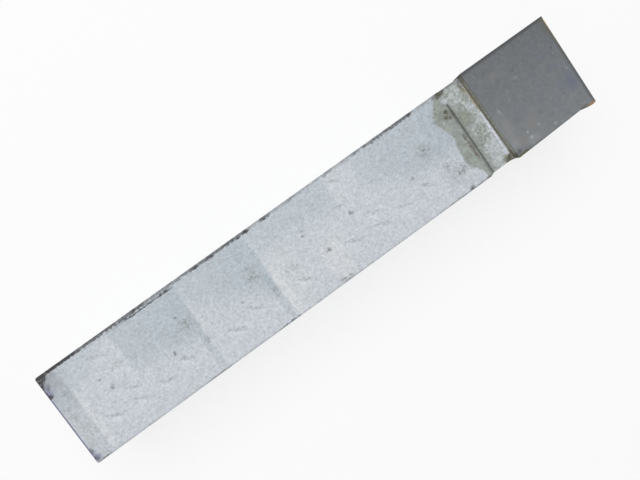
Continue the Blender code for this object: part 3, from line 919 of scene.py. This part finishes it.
def paint_tone(s, mottle, ripple_dents_and_shade, ripple_painted_highlight):
    """How bright the paint is from spot to spot, with the ripples' painted shade and painted highlights."""
    tone = s.plus(centred(s, s.fine, mottle), 1.0)
    tone = s.plus(tone, centred(s, s.broad, BROAD_MOTTLE))
    tone = s.plus(tone, s.times(ripple_painted_highlight, RIPPLE_PAINTED_HIGHLIGHT))
    tone = s.minus(tone, s.times(ripple_dents_and_shade, RIPPLE_PAINTED_SHADE))
    return s.plus(tone, s.times(s.neck, centred(s, s.fine, NECK_MOTTLE)))


def neck_stain(s):
    """The grey-green stain on the neck and behind the groove, with veins where the neck is crazed."""
    forward = s.minus(s.minus(s.axes(s.ragged)[0], BACK_X), stain_edge(s))
    behind_groove = s.times(s.fade(forward, *STAIN_EDGE_FADE), s.minus(1.0, s.neck))
    cracks = s.math("MULTIPLY_ADD", s.blotch, VEIN_BLOTCH, s.times(s.broad, VEIN_BROAD))
    veins = s.times(s.fade(cracks, *VEIN_BREAKS), s.neck)
    stain = s.total([behind_groove, ovals(s, s.waved, NECK_STAINS, core=0.6), veins])
    return s.times(broken(s, stain, s.blotch, STAIN_BREAKS), s.top_face)


def neck_marks(s, colour):
    """The neck's pale spots, rust and specks, painted shade in the groove and at the rim's foot, and the
    painted highlight on the rim at the seat.
    """
    colour = s.mix(ovals(s, s.ragged, PALE_MARKS, core=0.3), colour, PALE_COLOUR)
    rust = broken(s, ovals(s, s.ragged, RUST_MARKS, core=0.4), s.blotch, FLAKE_BREAKS)
    colour = s.mix(rust, colour, RUST_COLOUR)
    # Painted shade in the groove
    colour = s.mix(groove_painted_shade(s), colour, GROOVE_SHADE_COLOUR)
    tan = broken(s, ovals(s, s.ragged, RIM_TAN, core=0.3), s.blotch, FLAKE_BREAKS)
    colour = s.mix(tan, colour, TAN_COLOUR)
    # A painted highlight on the rim's edge
    pale = broken(s, ovals(s, s.ragged, RIM_PAINTED_HIGHLIGHT, core=0.4), s.fine, RIM_HIGHLIGHT_BREAKS)
    colour = s.mix(pale, colour, RIM_HIGHLIGHT_COLOUR)
    # Specks, and painted shade along the rim's foot
    specks = broken(s, ovals(s, s.jagged, NECK_SPECKS_AND_SEAM_SHADE, core=0.2), s.fine, NECK_SPECK_AND_SHADE_BREAKS)
    return s.mix(specks, colour, NECK_SPECK_AND_SHADE_COLOUR)


def groove_painted_shade(s):
    """Painted shade in the groove at the neck's root, which fades out before the left side."""
    x, y, _ = s.axes(s.jagged)
    away = s.math("ABSOLUTE", s.minus(x, BACK_X + GROOVE_X * MM))
    line = s.fade(away, *GROOVE_SHADE_FADE)
    end = s.fade(y, GROOVE_SHADE_END[0] * MM, GROOVE_SHADE_END[1] * MM)
    return s.times(s.times(line, end), s.fade(s.z, TOP_Z - GROOVE_SHADE_DEPTH[0], TOP_Z - GROOVE_SHADE_DEPTH[1]))


def side_tints(s, colour):
    """Below the top: a heat tint under the plate, and scuffs where the bar has lain and been clamped."""
    x, _, z = s.axes(s.waved)
    heated = s.fade(x, BACK_X + HEAT_ALONG[0] * MM, BACK_X + HEAT_ALONG[1] * MM)
    heated = s.times(heated, s.fade(z, PLATE_BASE_Z - HEAT_DEPTH[0], PLATE_BASE_Z - HEAT_DEPTH[1]))
    heated = broken(s, s.times(heated, s.below), s.broad, HEAT_BREAKS)
    colour = s.mix(heated, colour, HEAT_COLOUR)

    scuffs = s.fade(s.streaks(SCUFF_SIZES, detail=4.0), *SCUFF_BREAKS)
    scuffs = broken(s, scuffs, s.grain(SCUFF_PATCH_GRAIN, detail=1.0), SCUFF_PATCH_BREAKS)
    return s.mix(s.times(scuffs, s.below), colour, SMUDGE_COLOUR)


def worn_edges(s, colour):
    """Paint rubbed thin along the edges, but whole along the top's right one, as the photograph shows it."""
    edge = s.plus(edge_distance(s), centred(s, s.blotch, WORN_RAGGED))
    near_top = s.fade(s.z, TOP_Z - UNWORN_DEPTH[0], TOP_Z - UNWORN_DEPTH[1])
    unworn = s.times(s.fade(s.y, *UNWORN_SIDE), near_top)
    return s.mix(s.times(s.fade(edge, *WORN_EDGE), s.minus(1.0, unworn)), colour, WORN_COLOUR)


def saw_marks(s):
    """Fine lines across the sawn back end."""
    lines = s.fade(s.streaks(SAW_SIZES, detail=3.0, turn=math.radians(SAW_TURN)), *SAW_BREAKS)
    return s.times(lines, s.fade(s.x, BACK_X + SAW_DEPTH[0], BACK_X + SAW_DEPTH[1]))


def paint_material(settings):
    """Silver-grey paint over steel, mottled and banded, with its smudges, its chips and the neck's stain."""
    s = PaintShading(settings.grain)
    # The ripples' dents with their painted shade, and their painted highlights
    ripple_dents_and_shade, ripple_painted_highlight = ripples(s)
    tone = paint_tone(s, settings.mottle, ripple_dents_and_shade, ripple_painted_highlight)
    colour = paint_coat(s, settings.colour)

    smudges = broken(s, ovals(s, s.waved, SMUDGES, core=0.0), s.fine, SMUDGE_BREAKS)
    colour = s.mix(smudges, colour, SMUDGE_COLOUR)
    specks = broken(s, ovals(s, s.jagged, SPECKS, core=0.0), s.fine, SPECK_BREAKS)
    colour = s.mix(specks, colour, SPECK_COLOUR)

    stain = neck_stain(s)
    stain_tone = s.plus(centred(s, s.broad, STAIN_MOTTLE), 1.0)
    colour = s.mix(stain, colour, s.brighten(settings.stain, stain_tone))
    olive = broken(s, ovals(s, s.waved, OLIVE_STAINS, core=0.1), s.blotch, FLAKE_BREAKS)
    colour = s.brighten(s.mix(olive, colour, OLIVE_STAIN_COLOUR), tone)
    colour = neck_marks(s, colour)

    colour = worn_edges(s, side_tints(s, colour))
    saw = saw_marks(s)
    colour = s.mix(s.times(saw, SAW_TINT), colour, WORN_COLOUR)

    chips = s.total([
        edge_line(s, LEFT_LINE, LEFT_LINE_Y, LEFT_LINE_HALF),
        edge_line(s, RIGHT_LINE, RIGHT_LINE_Y, RIGHT_LINE_HALF),
        edge_line(s, INNER_LINE, INNER_LINE_Y, INNER_LINE_HALF),
        broken(s, ovals(s, s.jagged, EDGE_CHIPS, core=0.45, depth=1.2), s.fine, CHIP_BREAKS),
    ])
    colour = s.mix(ovals(s, s.place, BACK_LINE, core=0.3, depth=0.5), colour, BACK_LINE_COLOUR)
    colour = s.mix(chips, colour, settings.bare)

    height = s.math("MULTIPLY_ADD", s.broad, BROAD_HEIGHT, s.times(s.fine, FINE_HEIGHT))
    height = s.minus(height, s.times(ripple_dents_and_shade, RIPPLE_HEIGHT))
    height = s.minus(height, s.times(s.total([chips, specks]), CHIP_HEIGHT))
    height = s.minus(height, s.times(saw, SAW_HEIGHT))
    s.bump(height, settings.relief)
    rough = s.math("MULTIPLY_ADD", s.fine, PAINT_ROUGH_CHANGE, PAINT_ROUGH)
    rough = s.math("MULTIPLY_ADD", stain, STAIN_ROUGH, rough)
    return s.finish(colour, rough, s.times(chips, CHIP_METAL))


def carbide_material(settings):
    """Sintered carbide: matt grey with blue and brown clouds and pits, and painted shade and light at its
    edges.
    """
    s = Shading("sintered_carbide")
    _, y, z = s.axes()
    ragged = s.pushed(*CARBIDE_RAGGED)
    jagged = s.pushed(*CARBIDE_JAGGED)
    fine = s.grain(CARBIDE_FINE_GRAIN, detail=3.0, distortion=0.5)
    mid = s.grain(CARBIDE_MID_GRAIN, distortion=0.5)
    cloud = s.grain(CARBIDE_CLOUD_GRAIN, detail=3.0, distortion=0.4)
    warmth = s.grain(CARBIDE_WARMTH_GRAIN, place=ragged)

    tone = s.math("MULTIPLY_ADD", s.span(y, SIDE_Y, -SIDE_Y), PLATE_TONE_RISE, PLATE_TONE_LOW)
    for spots, mottle in zip((fine, mid, cloud), CARBIDE_MOTTLES):
        tone = s.plus(tone, centred(s, spots, mottle))
    colour = s.brighten(settings.colour, tone)
    blue = s.total([ovals(s, ragged, BLUE_CLOUDS, core=0.1), s.fade(warmth, *COOL_SPOTS)])
    colour = s.mix(blue, colour, BLUE_COLOUR)
    brown = s.total([ovals(s, ragged, BROWN_CLOUDS, core=0.1), s.fade(warmth, *WARM_SPOTS)])
    colour = s.mix(brown, colour, BROWN_COLOUR)
    # Pale flecks, and painted light along the plate's back edge
    colour = s.mix(ovals(s, jagged, LIGHT_FLECKS_AND_SEAM_LIGHT, core=0.1), colour, FLECK_AND_SEAM_LIGHT_COLOUR)
    colour = s.mix(ovals(s, jagged, DARK_FLECKS, core=0.2), colour, SPECK_COLOUR)
    # Painted shade along the edges of the plate's top
    colour = s.mix(painted_rim_shade(s, jagged), colour, EDGE_SHADE_COLOUR)
    colour = s.mix(ovals(s, jagged, PLATE_EDGE_OLIVE, core=0.4), colour, OLIVE_COLOUR)
    # Gold braze tint, partly a painted highlight along the plate's front top edge
    colour = s.mix(ovals(s, jagged, PLATE_EDGE_GOLD_AND_HIGHLIGHT, core=0.35, depth=0.9), colour, GOLD_AND_HIGHLIGHT_COLOUR)

    above = s.plus(z, centred(s, cloud, FLUX_CLIMB_CHANGE))
    wetted = s.fade(above, PLATE_BASE_Z + FLUX_CLIMB[0], PLATE_BASE_Z + FLUX_CLIMB[1], 0.0, FLUX_CLIMB_TINT)
    colour = s.mix(wetted, colour, HEAT_COLOUR)

    s.bump(s.plus(fine, mid), CARBIDE_RELIEF)
    rough = s.plus(centred(s, fine, CARBIDE_ROUGH_CHANGE), settings.roughness)
    return s.finish(colour, rough, CARBIDE_METAL)


def painted_rim_shade(s, place):
    """Painted shade along the left, front and right edges of the plate's top."""
    x, y, _ = s.axes(place)
    left = s.fade(y, PLATE_HIGH[1] - LEFT_RIM_SHADE[0], PLATE_HIGH[1] - LEFT_RIM_SHADE[1], 0.0, LEFT_RIM_SHADE_STRENGTH)
    skewed = s.math("MULTIPLY_ADD", y, -FRONT_SLOPE, x)
    front = s.fade(skewed, PLATE_FRONT_X - FRONT_RIM_SHADE[0], PLATE_FRONT_X - FRONT_RIM_SHADE[1], 0.0, FRONT_RIM_SHADE_STRENGTH)
    right = s.fade(y, PLATE_LOW[1] + RIGHT_RIM_SHADE[0], PLATE_LOW[1] + RIGHT_RIM_SHADE[1], 0.0, RIGHT_RIM_SHADE_STRENGTH)
    return s.math("MAXIMUM", s.math("MAXIMUM", left, front), right)


def braze_material(settings):
    """Oxidised braze: olive brown with dark flux, painted shade and light at the seams, and clean orange
    metal where it ran out in drops.
    """
    s = Shading("braze_alloy")
    z = s.axes()[2]
    ragged = s.pushed(*BRAZE_RAGGED)
    fine = s.grain(BRAZE_FINE_GRAIN, detail=3.0)
    cloud = s.grain(BRAZE_CLOUD_GRAIN, distortion=0.6)
    colour = s.brighten(settings.colour, s.plus(centred(s, fine, BRAZE_MOTTLE), 1.0))
    below = s.fade(z, PLATE_TOP_Z - BRAZE_CLEAN_DEPTH[0], PLATE_TOP_Z - BRAZE_CLEAN_DEPTH[1])
    flux = broken(s, s.plus(below, FLUX_ON_TOP), cloud, FLUX_SPOTS)
    colour = s.mix(flux, colour, FLUX_AND_SHADE_COLOUR)
    colour = s.mix(broken(s, below, cloud, CLEAN_SPOTS), colour, settings.bright)
    olive = broken(s, ovals(s, ragged, OLIVE_BRAZE, core=0.3), fine, OLIVE_BREAKS)
    colour = s.mix(olive, colour, OLIVE_BRAZE_COLOUR)
    # Dark flux, and painted shade along the seam at the rim's foot
    colour = s.mix(ovals(s, ragged, FLUX_AND_SEAM_SHADE, core=0.4), colour, FLUX_AND_SHADE_COLOUR)
    # Painted light on the braze along the plate's back edge
    colour = s.mix(ovals(s, ragged, SEAM_PAINTED_LIGHT, core=0.3, depth=0.8), colour, SEAM_LIGHT_COLOUR)
    colour = s.mix(ovals(s, ragged, CLEAN_BRAZE, core=0.3, depth=6.0), colour, settings.bright)
    s.bump(s.plus(fine, cloud), BRAZE_RELIEF)
    return s.finish(colour, s.math("MULTIPLY_ADD", fine, BRAZE_ROUGH_CHANGE, BRAZE_ROUGH), BRAZE_METAL)


def assign(piece, material):
    """Gives a piece one material in place of what it has."""
    if not piece.material_slots:
        piece.data.materials.append(material)
    for slot in piece.material_slots:
        slot.material = material


def new_object(name, data):
    """Adds an object with the given mesh, lamp or camera to the scene."""
    made = bpy.data.objects.new(name, data)
    bpy.context.scene.collection.objects.link(made)
    return made


def mesh_object(name, cage):
    """Adds an object made of a finished bmesh."""
    mesh = bpy.data.meshes.new(name)
    cage.to_mesh(mesh)
    cage.free()
    return new_object(name, mesh)


def new_piece(name, cage, material, body="root"):
    """Adds a piece made of a finished bmesh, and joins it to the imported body."""
    piece = mesh_object(name, cage)
    piece.data.shade_smooth()
    assign(piece, material)
    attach(piece, body)
    return piece


def solid_tree(node):
    """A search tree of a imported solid's surface."""
    cage = bmesh.new()
    cage.from_mesh(bpy.data.objects[node].data)
    tree = BVHTree.FromBMesh(cage)
    cage.free()
    return tree


def fine_copy(node, swell, cell):
    """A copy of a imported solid, swollen a little and remeshed into small even cells."""
    cage = bmesh.new()
    cage.from_mesh(bpy.data.objects[node].data)
    bmesh.ops.remove_doubles(cage, verts=cage.verts, dist=MERGE_DISTANCE)
    bmesh.ops.recalc_face_normals(cage, faces=cage.faces)
    cage.normal_update()
    for vertex in cage.verts:
        vertex.co += vertex.normal * swell
    rough = mesh_object(node + "_rough", cage)
    remesh = rough.modifiers.new("even cells", "REMESH")
    remesh.mode = "VOXEL"
    remesh.voxel_size = cell
    bpy.context.view_layer.update()
    graph = bpy.context.evaluated_depsgraph_get()
    fine = bmesh.new()
    fine.from_mesh(bpy.data.meshes.new_from_object(rough.evaluated_get(graph)))
    bpy.data.objects.remove(rough, do_unlink=True)
    return fine


def wet(cage, trees, swell):
    """Draws the braze on to the steel and the plate beside it, and its free surface back by the swelling."""
    cage.normal_update()
    for vertex in cage.verts:
        hits = [tree.find_nearest(vertex.co) for tree in trees]
        hit, normal, _, distance = min(hits, key=lambda found: found[3])
        if (vertex.co - hit).dot(normal) < 0:
            continue
        share = max(0.0, min(1.0, (WET_REACH - distance) / (WET_BLEND * WET_REACH)))
        free = vertex.co - vertex.normal * (swell * (1 - share))
        vertex.co = free.lerp(hit - normal * WET_SINK, share)


def add_lumps(cage, lumps):
    """Makes the braze's surface uneven, and levels it in the seam just below the plate's top."""
    cage.normal_update()
    top = PLATE_TOP_Z - BRAZE_BELOW_PLATE
    for vertex in cage.verts:
        lump = noise.fractal(vertex.co / LUMP_SIZE, LUMP_SMOOTHNESS, LUMP_STEP, LUMP_OCTAVES)
        vertex.co += vertex.normal * (lump * lumps)
        if vertex.co.z > top - SEAM_DIP:
            vertex.co.z += (top - vertex.co.z) * SEAM_FILL
        vertex.co.z = min(vertex.co.z, top)


class TOOLBIT_OT_paint_shank(bpy.types.Operator):
    """Give the steel shank its worn silver paint"""

    bl_idname = "toolbit.paint_shank"
    bl_label = "Paint the Shank"

    def execute(self, context):
        assign(bpy.data.objects["shank"], paint_material(context.scene.toolbit_paint))
        return {"FINISHED"}


class TOOLBIT_OT_finish_plate(bpy.types.Operator):
    """Give the carbide plate its ground, clouded surface"""

    bl_idname = "toolbit.finish_plate"
    bl_label = "Finish the Plate"

    def execute(self, context):
        assign(bpy.data.objects["carbide_tip"], carbide_material(context.scene.toolbit_plate))
        return {"FINISHED"}


class TOOLBIT_OT_run_braze(bpy.types.Operator):
    """Flow the braze against the steel and the plate, with its uneven fillets and drops"""

    bl_idname = "toolbit.run_braze"
    bl_label = "Run the Braze"

    def execute(self, context):
        settings = context.scene.toolbit_braze
        swell = JOINT_GAP / 2
        cage = fine_copy("braze_joint", swell, settings.cell)
        wet(cage, [solid_tree("shank"), solid_tree("carbide_tip")], swell)
        bmesh.ops.smooth_vert(
            cage, verts=cage.verts, factor=0.5, use_axis_x=True, use_axis_y=True, use_axis_z=True,
        )
        add_lumps(cage, settings.lumps)
        bmesh.ops.recalc_face_normals(cage, faces=cage.faces)
        piece = new_piece("braze_run", cage, braze_material(settings))
        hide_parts("braze_joint")
        return {"FINISHED"}


class TOOLBIT_OT_set_stage(bpy.types.Operator):
    """Add the pale floor, the soft light and the camera"""

    bl_idname = "toolbit.set_stage"
    bl_label = "Set the Stage"

    def execute(self, context):
        settings = context.scene.toolbit_studio
        make_floor()
        light_studio(settings)
        place_camera(settings)
        context.scene.view_settings.view_transform = "Standard"
        return {"FINISHED"}


def seen_directly(tree):
    """1 for rays from the camera and for mirrored or refracted ones, 0 for those that only carry light."""
    rays = tree.nodes.new("ShaderNodeLightPath").outputs
    result = rays["Is Camera Ray"]
    for name in ("Is Glossy Ray", "Is Transmission Ray"):
        either = tree.nodes.new("ShaderNodeMath")
        either.operation = "MAXIMUM"
        tree.links.new(result, either.inputs[0])
        tree.links.new(rays[name], either.inputs[1])
        result = either.outputs[0]
    return result


def blend_shaders(tree, share, first, second, output):
    """Joins two shaders to an output, the second by the given share."""
    blend = tree.nodes.new("ShaderNodeMixShader")
    for value, socket in zip((share, first.outputs[0], second.outputs[0]), blend.inputs):
        tree.links.new(value, socket)
    tree.links.new(blend.outputs[0], tree.nodes[output].inputs["Surface"])


def make_floor():
    """A white floor under the base, paler to the eye than to the light, which keeps a faint shadow."""
    cage = bmesh.new()
    bmesh.ops.create_grid(cage, x_segments=1, y_segments=1, size=FLOOR_HALF)
    floor = mesh_object("floor", cage)

    material = bpy.data.materials.new("floor_white")
    material.use_nodes = True
    tree = material.node_tree
    paper = tree.nodes["Principled BSDF"]
    paper.inputs["Base Color"].default_value = (FLOOR_GREY, FLOOR_GREY, FLOOR_GREY, 1)
    paper.inputs["Roughness"].default_value = 1.0
    paper.inputs["Specular IOR Level"].default_value = 0.0
    glow = tree.nodes.new("ShaderNodeEmission")
    glow.inputs["Strength"].default_value = 1.0
    share = tree.nodes.new("ShaderNodeMath")
    share.operation = "MULTIPLY"
    share.inputs[1].default_value = FLOOR_GLOW
    tree.links.new(seen_directly(tree), share.inputs[0])
    blend_shaders(tree, share.outputs[0], paper, glow, "Material Output")
    assign(floor, material)


def light_studio(settings):
    """Even light from all around, and one large soft lamp above."""
    world = bpy.data.worlds.new("studio")
    bpy.context.scene.world = world
    world.use_nodes = True
    tree = world.node_tree
    around = tree.nodes["Background"]
    around.inputs["Color"].default_value = (1, 1, 1, 1)
    around.inputs["Strength"].default_value = settings.ambient
    white = tree.nodes.new("ShaderNodeBackground")
    white.inputs["Color"].default_value = (1, 1, 1, 1)
    white.inputs["Strength"].default_value = 1.0
    blend_shaders(tree, seen_directly(tree), around, white, "World Output")

    lamp = bpy.data.lights.new("key", "AREA")
    lamp.shape = "SQUARE"
    lamp.size = KEY_SIZE
    lamp.energy = settings.key_power
    key = new_object("key", lamp)
    key.location = KEY_PLACE
    key.rotation_euler = (-Vector(KEY_PLACE)).to_track_quat("-Z", "Y").to_euler()


def place_camera(settings):
    """The camera above the tool, turned so that the tip points to the upper right."""
    data = bpy.data.cameras.new("camera")
    data.lens = settings.lens
    data.sensor_width = CAMERA_SENSOR
    data.clip_start = CAMERA_NEAR
    camera = new_object("camera", data)
    place = on_tool(*CAMERA_PLACE)
    back = (place - on_tool(*CAMERA_AIM)).normalized()
    turn = math.radians(CAMERA_UP_TURN)
    right = Vector((math.cos(turn), math.sin(turn), 0)).cross(back).normalized()
    turned = Matrix((right, back.cross(right), back)).transposed()
    camera.matrix_world = Matrix.LocRotScale(place, turned, None)
    bpy.context.scene.camera = camera


class TOOLBIT_PT_looks(bpy.types.Panel):
    """Sizes, colours and steps of the tool bit's looks"""

    bl_idname = "TOOLBIT_PT_looks"
    bl_label = "Tool Bit"
    bl_space_type = "VIEW_3D"
    bl_region_type = "UI"
    bl_category = "Tool Bit"

    def draw(self, context):
        for group, operator in STEPS.items():
            box = self.layout.box()
            settings = getattr(context.scene, group)
            for name in settings.bl_rna.properties.keys():
                if name not in ("rna_type", "name"):
                    box.prop(settings, name)
            box.operator(operator)


GROUPS = {
    "toolbit_paint": ToolBitPaint,
    "toolbit_plate": ToolBitPlate,
    "toolbit_braze": ToolBitBraze,
    "toolbit_studio": ToolBitStudio,
}
STEPS = {
    "toolbit_paint": "toolbit.paint_shank",
    "toolbit_plate": "toolbit.finish_plate",
    "toolbit_braze": "toolbit.run_braze",
    "toolbit_studio": "toolbit.set_stage",
}
CLASSES = (
    *GROUPS.values(),
    TOOLBIT_OT_paint_shank,
    TOOLBIT_OT_finish_plate,
    TOOLBIT_OT_run_braze,
    TOOLBIT_OT_set_stage,
    TOOLBIT_PT_looks,
)


def register():
    """Adds the classes, and each group of settings to the scene."""
    for each in CLASSES:
        bpy.utils.register_class(each)
    for name, group in GROUPS.items():
        setattr(bpy.types.Scene, name, bpy.props.PointerProperty(type=group))


def unregister():
    """Takes the settings and the classes out again."""
    for name in GROUPS:
        delattr(bpy.types.Scene, name)
    for each in reversed(CLASSES):
        bpy.utils.unregister_class(each)


def main():
    """Finishes each piece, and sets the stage."""
    register()
    bpy.ops.toolbit.paint_shank()
    bpy.ops.toolbit.finish_plate()
    bpy.ops.toolbit.run_braze()
    bpy.ops.toolbit.set_stage()


if __name__ == "__main__":
    main()
